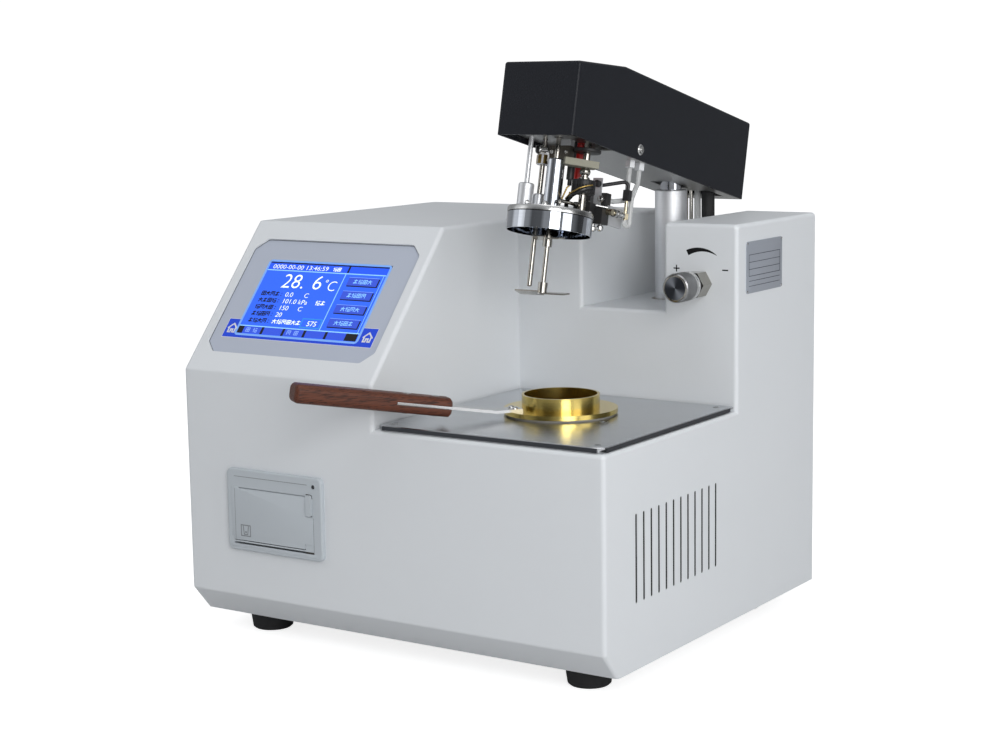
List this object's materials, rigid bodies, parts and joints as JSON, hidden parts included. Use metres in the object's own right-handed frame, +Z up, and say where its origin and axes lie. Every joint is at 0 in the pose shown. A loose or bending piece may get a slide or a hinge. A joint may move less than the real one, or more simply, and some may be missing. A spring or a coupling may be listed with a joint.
{
  "type": "flash point tester",
  "caption": "Closed-cup flash point tester: a cabinet with sloped display and printer, and a tilting arm that lowers a lid with stirrer and igniter onto a brass cup.",
  "frame": {"origin": "bottom centre of the whole tester with its arm raised, on the table under the feet", "axes": "+X to the right as the user sees it, +Y from the front to the back, +Z up"},
  "size_m": [0.35, 0.3933, 0.4095],
  "materials": {
    "painted_shell": "satin light grey powder coat",
    "dark_sheet": "grey powder coat",
    "black_paint": "black textured powder coat",
    "stainless": "brushed",
    "steel": "turned",
    "chrome": "polished",
    "alu": "bead blasted",
    "brass": "turned",
    "nickel": "nickel plated",
    "rubber": "matte",
    "bezel": "matte",
    "grey_plastic": "matte",
    "black_plastic": "matte",
    "screen": "lit display",
    "board": "solder mask",
    "paper": "paper",
    "cream": "ceramic fibre board",
    "red_plastic": "varnished coil",
    "wood": "oiled red-brown wood",
    "clear_tube": "translucent tube",
    "mineral": "mineral board"
  },
  "bodies": {
    "cabinet": {"cabinet_shell": "painted_shell", "base_pan": "dark_sheet", "rear_panel": "dark_sheet", "rubber_feet": "rubber", "deck_plate": "stainless", "air_bath": "steel", "bath_ring": "mineral", "heater_band": "stainless", "display_bezel": "bezel", "touch_screen": "screen", "controller_board": "board", "printer_housing": "grey_plastic", "needle_valve": "nickel", "fan_frame": "black_plastic", "power_inlet": "black_plastic", "gas_inlet": "brass", "power_supply": "alu", "column_bushing": "brass", "lift_actuator": "alu", "hose_grommet": "rubber"},
    "column": {"column_tube": "stainless", "column_head": "chrome", "pivot_pin": "steel", "lift_yoke": "steel", "guide_rods": "steel", "gas_hose": "clear_tube", "cable_conduit": "black_plastic"},
    "arm": {"arm_cover": "black_paint", "arm_plate": "stainless", "pivot_bracket": "steel", "stirrer_motor": "alu", "test_cover": "chrome", "drive_housing": "chrome", "probe_gland": "nickel", "temperature_probe": "stainless", "flash_detector": "alu", "insulating_plate": "cream", "support_posts": "steel", "igniter_coil": "red_plastic", "spring_housing": "black_plastic", "gas_block": "black_plastic", "solenoid_block": "black_plastic", "head_bracket": "alu", "gas_pipe": "black_plastic", "pipe_clamp": "black_plastic", "gas_tee": "brass", "hose_nuts": "nickel", "clear_hoses": "clear_tube"},
    "stirrer": {"stirrer": "steel"},
    "shutter": {"shutter": "steel"},
    "nozzle": {"flame_nozzle": "steel"},
    "cup": {"cup": "brass", "cup_strip": "stainless", "cup_grip": "wood"},
    "printer_door": {"printer_door": "grey_plastic"},
    "paper_roll": {"paper_roll": "paper"},
    "feed_button": {"feed_button": "grey_plastic"},
    "flame_knob": {"flame_knob": "black_plastic"},
    "fan_rotor": {"fan_rotor": "black_plastic"},
    "rocker_switch": {"rocker_switch": "black_plastic"}
  },
  "joints": [
    {"name": "column_lift", "type": "slide", "parent": "cabinet", "child": "column", "axis": [0, 0, 1], "range_m": [-0.0805, 0]},
    {"name": "arm_tilt", "type": "hinge", "parent": "column", "child": "arm", "pos_m": [0.0815, 0.1229, 0.3339], "axis": [-1, 0, 0], "range_deg": [-13.1, 0]},
    {"name": "stirrer_spin", "type": "hinge", "parent": "arm", "child": "stirrer", "pos_m": [0.0815, -0.0489, 0.29585], "axis": [0, 0.2267, 0.974], "continuous": true},
    {"name": "shutter_turn", "type": "hinge", "parent": "arm", "child": "shutter", "pos_m": [0.0965, -0.02846, 0.32189], "axis": [0, 0.2267, 0.974], "range_deg": [0, 40], "stiffness_Nm_per_rad": 0.02, "springref_deg": -5.73},
    {"name": "nozzle_dip", "type": "hinge", "parent": "arm", "child": "nozzle", "pos_m": [0.0915, -0.01833, 0.31029], "axis": [1, 0, 0], "range_deg": [0, 10.2]},
    {"name": "cup_lift", "type": "slide", "parent": "cabinet", "child": "cup", "axis": [0, 0, 1], "range_m": [0, 0.055]},
    {"name": "printer_door_hinge", "type": "hinge", "parent": "cabinet", "child": "printer_door", "pos_m": [-0.0967, -0.1381, 0.0788], "axis": [1, 0, 0], "range_deg": [0, 85]},
    {"name": "paper_roll_spin", "type": "hinge", "parent": "cabinet", "child": "paper_roll", "pos_m": [-0.0967, -0.1048, 0.0913], "axis": [1, 0, 0], "continuous": true},
    {"name": "feed_button_press", "type": "slide", "parent": "cabinet", "child": "feed_button", "axis": [0, 1, 0], "range_m": [0, 0.0012], "stiffness_N_per_m": 600},
    {"name": "flame_knob_turn", "type": "hinge", "parent": "cabinet", "child": "flame_knob", "pos_m": [0.1455, 0.0472, 0.254], "axis": [0, -1, 0], "range_deg": [0, 270]},
    {"name": "fan_spin", "type": "hinge", "parent": "cabinet", "child": "fan_rotor", "pos_m": [0.01, 0.1602, 0.111], "axis": [0, 1, 0], "continuous": true},
    {"name": "power_switch_rock", "type": "hinge", "parent": "cabinet", "child": "rocker_switch", "pos_m": [-0.125, 0.1732, 0.0935], "axis": [1, 0, 0], "range_deg": [-16, 0]}
  ],
  "couplings": [
    {"joint": "arm_tilt", "follows": "column_lift", "rad_per_m": 2.84},
    {"joint": "nozzle_dip", "follows": "shutter_turn", "ratio": 0.25}
  ]
}
